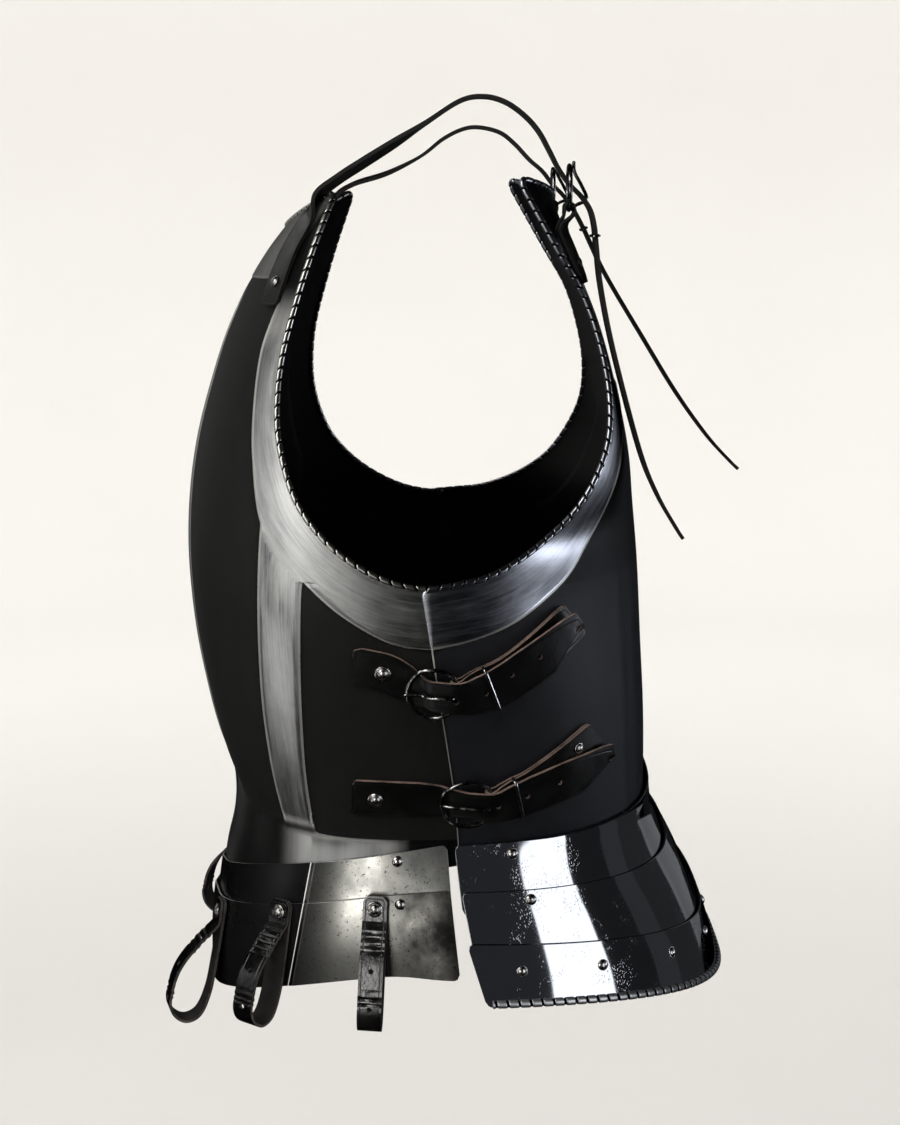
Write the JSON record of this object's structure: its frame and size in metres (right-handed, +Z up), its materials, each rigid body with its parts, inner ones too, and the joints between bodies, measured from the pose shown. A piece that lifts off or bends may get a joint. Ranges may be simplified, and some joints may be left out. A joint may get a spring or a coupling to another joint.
{
  "type": "steel breastplate and backplate",
  "caption": "Black and polished steel cuirass: breastplate and backplate with turned armholes, skirt lames, buckled leather side and shoulder straps, and hanging loops.",
  "frame": {"origin": "midway between the tops of the two shoulder straps, where they rest on the wearer's shoulders", "axes": "+Z up, -Y the way the wearer faces, +X the wearer's left"},
  "size_m": [0.421, 0.4535, 0.6783],
  "materials": {
    "breastplate_steel": "satin oil-blackened steel with brushed bright bands",
    "backplate_steel": "satin oil-blackened steel with brushed bright bands",
    "fauld_steel": "blackened steel, worn bright on the side faces",
    "culet_steel": "glossy blackened steel with fine pitting",
    "rivet_steel": "domed steel heads, lightly tarnished",
    "buckle_steel": "bent steel wire",
    "strap_leather": "black smooth leather with bare brown cut edges"
  },
  "bodies": {
    "root": {"backplate": "backplate_steel", "billet_rivet_lower_left": "rivet_steel", "billet_rivet_lower_right": "rivet_steel", "billet_rivet_upper_left": "rivet_steel", "billet_rivet_upper_right": "rivet_steel", "breastplate": "breastplate_steel", "buckle_strap_rivet_lower_left": "rivet_steel", "buckle_strap_rivet_lower_right": "rivet_steel", "buckle_strap_rivet_upper_left": "rivet_steel", "buckle_strap_rivet_upper_right": "rivet_steel", "shoulder_buckle_left": "buckle_steel", "shoulder_buckle_right": "buckle_steel", "shoulder_buckle_strap_left": "strap_leather", "shoulder_buckle_strap_right": "strap_leather", "shoulder_rivet_back_left": "rivet_steel", "shoulder_rivet_back_right": "rivet_steel", "shoulder_rivet_front_left": "rivet_steel", "shoulder_rivet_front_right": "rivet_steel", "shoulder_strap_left": "strap_leather", "shoulder_strap_right": "strap_leather", "side_billet_lower_left": "strap_leather", "side_billet_lower_right": "strap_leather", "side_billet_upper_left": "strap_leather", "side_billet_upper_right": "strap_leather", "side_buckle_lower_left": "buckle_steel", "side_buckle_lower_right": "buckle_steel", "side_buckle_strap_lower_left": "strap_leather", "side_buckle_strap_lower_right": "strap_leather", "side_buckle_strap_upper_left": "strap_leather", "side_buckle_strap_upper_right": "strap_leather", "side_buckle_upper_left": "buckle_steel", "side_buckle_upper_right": "buckle_steel"},
    "fauld_upper": {"fauld_upper_lame": "fauld_steel", "fauld_upper_pivot_left": "rivet_steel", "fauld_upper_pivot_right": "rivet_steel"},
    "fauld_lower": {"fauld_lower_lame": "fauld_steel", "fauld_lower_pivot_left": "rivet_steel", "fauld_lower_pivot_right": "rivet_steel", "tasset_loop_corner_left": "strap_leather", "tasset_loop_corner_right": "strap_leather", "tasset_loop_front_left": "strap_leather", "tasset_loop_front_right": "strap_leather", "tasset_loop_side_left": "strap_leather", "tasset_loop_side_right": "strap_leather", "tasset_rivet_corner_left": "rivet_steel", "tasset_rivet_corner_right": "rivet_steel", "tasset_rivet_front_left": "rivet_steel", "tasset_rivet_front_right": "rivet_steel", "tasset_rivet_side_left": "rivet_steel", "tasset_rivet_side_right": "rivet_steel"},
    "culet_upper": {"culet_upper_lame": "culet_steel", "culet_upper_pivot_left": "rivet_steel", "culet_upper_pivot_right": "rivet_steel"},
    "culet_middle": {"culet_lower_lame": "culet_steel", "culet_middle_lame": "culet_steel", "culet_middle_pivot_left": "rivet_steel", "culet_middle_pivot_right": "rivet_steel"}
  },
  "joints": [
    {"name": "fauld_upper_hinge", "type": "hinge", "parent": "root", "child": "fauld_upper", "pos_m": [0, -0.05218, -0.5173], "axis": [-1, 0, 0], "range_deg": [0, 5]},
    {"name": "fauld_lower_hinge", "type": "hinge", "parent": "fauld_upper", "child": "fauld_lower", "pos_m": [0, -0.05008, -0.54562], "axis": [-1, 0, 0], "range_deg": [0, 5]},
    {"name": "culet_upper_hinge", "type": "hinge", "parent": "root", "child": "culet_upper", "pos_m": [0, 0.029, -0.51264], "axis": [1, 0, 0], "range_deg": [0, 5]},
    {"name": "culet_middle_hinge", "type": "hinge", "parent": "culet_upper", "child": "culet_middle", "pos_m": [0, 0.042, -0.5433], "axis": [1, 0, 0], "range_deg": [0, 5]}
  ]
}
